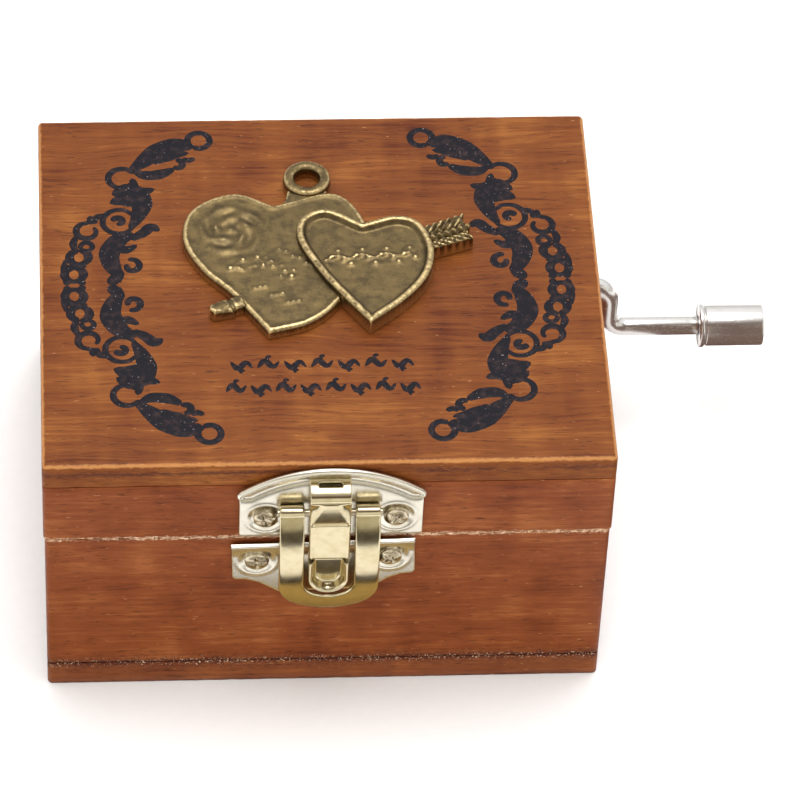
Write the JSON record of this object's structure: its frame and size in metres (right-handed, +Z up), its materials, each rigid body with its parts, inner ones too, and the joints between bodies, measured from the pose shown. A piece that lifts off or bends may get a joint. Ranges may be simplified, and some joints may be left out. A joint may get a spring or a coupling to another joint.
{
  "type": "hand crank music box",
  "caption": "Small wooden box with a hinged lid, a brass latch and a crank that turns a pinned drum under a comb; a cast charm of two hearts is glued on the lid.",
  "frame": {"origin": "centre of the box's underside, where it rests", "axes": "+Z up, +X towards the crank, -Y towards the latch, +Y towards the hinges"},
  "size_m": [0.0862, 0.0616, 0.0404],
  "materials": {
    "box_wood": "thin reddish-brown stain under a satin lacquer",
    "charm_bronze": "antiqued cast bronze, darker in its recesses",
    "latch_brass": "bright pale brass plate",
    "hinge_brass": "bright brass plate",
    "screw_plate": "brass-plated steel",
    "crank_nickel": "bright nickel plate",
    "bed_zinc": "plated die casting, satin",
    "comb_steel": "ground spring steel",
    "drum_brass": "turned brass, lightly polished",
    "worm_steel": "turned steel",
    "wheel_plastic": "natural moulded plastic"
  },
  "bodies": {
    "base": {"bottom_board": "box_wood", "base_front_board": "box_wood", "base_back_board": "box_wood", "base_left_board": "box_wood", "base_right_board": "box_wood", "latch_base_plate": "latch_brass", "latch_catch": "latch_brass", "latch_screw_base_left": "screw_plate", "latch_screw_base_right": "screw_plate", "hinge_left_base_leaf": "hinge_brass", "hinge_right_base_leaf": "hinge_brass", "hinge_left_pin": "hinge_brass", "hinge_right_pin": "hinge_brass", "hinge_left_base_screw_left": "screw_plate", "hinge_left_base_screw_right": "screw_plate", "hinge_right_base_screw_left": "screw_plate", "hinge_right_base_screw_right": "screw_plate", "bedplate": "bed_zinc", "comb_block": "bed_zinc", "comb": "comb_steel", "comb_screw_front": "screw_plate", "comb_screw_rear": "screw_plate", "drum_bearing_front": "bed_zinc", "drum_bearing_rear": "bed_zinc", "crank_bearing_inner": "bed_zinc", "crank_bearing_outer": "bed_zinc", "movement_screw_front_left": "screw_plate", "movement_screw_rear_left": "screw_plate", "movement_screw_right": "screw_plate"},
    "lid": {"lid_top_board": "box_wood", "lid_front_rail": "box_wood", "lid_back_rail": "box_wood", "lid_left_rail": "box_wood", "lid_right_rail": "box_wood", "heart_charm": "charm_bronze", "latch_lid_plate": "latch_brass", "latch_hinge_pin": "latch_brass", "latch_screw_lid_left": "screw_plate", "latch_screw_lid_right": "screw_plate", "hinge_left_lid_leaf": "hinge_brass", "hinge_right_lid_leaf": "hinge_brass", "hinge_left_lid_screw_left": "screw_plate", "hinge_left_lid_screw_right": "screw_plate", "hinge_right_lid_screw_left": "screw_plate", "hinge_right_lid_screw_right": "screw_plate"},
    "latch_tongue": {"latch_tongue": "latch_brass"},
    "crank": {"crank_wire": "crank_nickel", "worm": "worm_steel", "shaft_collar": "worm_steel"},
    "crank_knob": {"crank_knob": "crank_nickel"},
    "drum": {"drum_shell": "drum_brass", "drum_head_front": "drum_brass", "drum_head_rear": "drum_brass", "worm_wheel": "wheel_plastic", "drum_axle": "worm_steel"}
  },
  "joints": [
    {"name": "lid_hinge", "type": "hinge", "parent": "base", "child": "lid", "pos_m": [0, 0.0283, 0.0256], "axis": [-1, 0, 0], "range_deg": [0, 105]},
    {"name": "latch_swing", "type": "hinge", "parent": "lid", "child": "latch_tongue", "pos_m": [0, -0.02862, 0.0315], "axis": [-1, 0, 0], "range_deg": [0, 110]},
    {"name": "crank_turn", "type": "hinge", "parent": "base", "child": "crank", "pos_m": [0.0355, 0.016, 0.0201], "axis": [-1, 0, 0], "continuous": true},
    {"name": "knob_spin", "type": "hinge", "parent": "crank", "child": "crank_knob", "pos_m": [0.0465, 0.016, 0.01294], "axis": [-1, 0, 0], "continuous": true},
    {"name": "drum_turn", "type": "hinge", "parent": "base", "child": "drum", "pos_m": [0.008, 0.016, 0.01255], "axis": [0, 1, 0], "continuous": true}
  ],
  "couplings": [
    {"joint": "drum_turn", "follows": "crank_turn", "ratio": 0.041667}
  ]
}
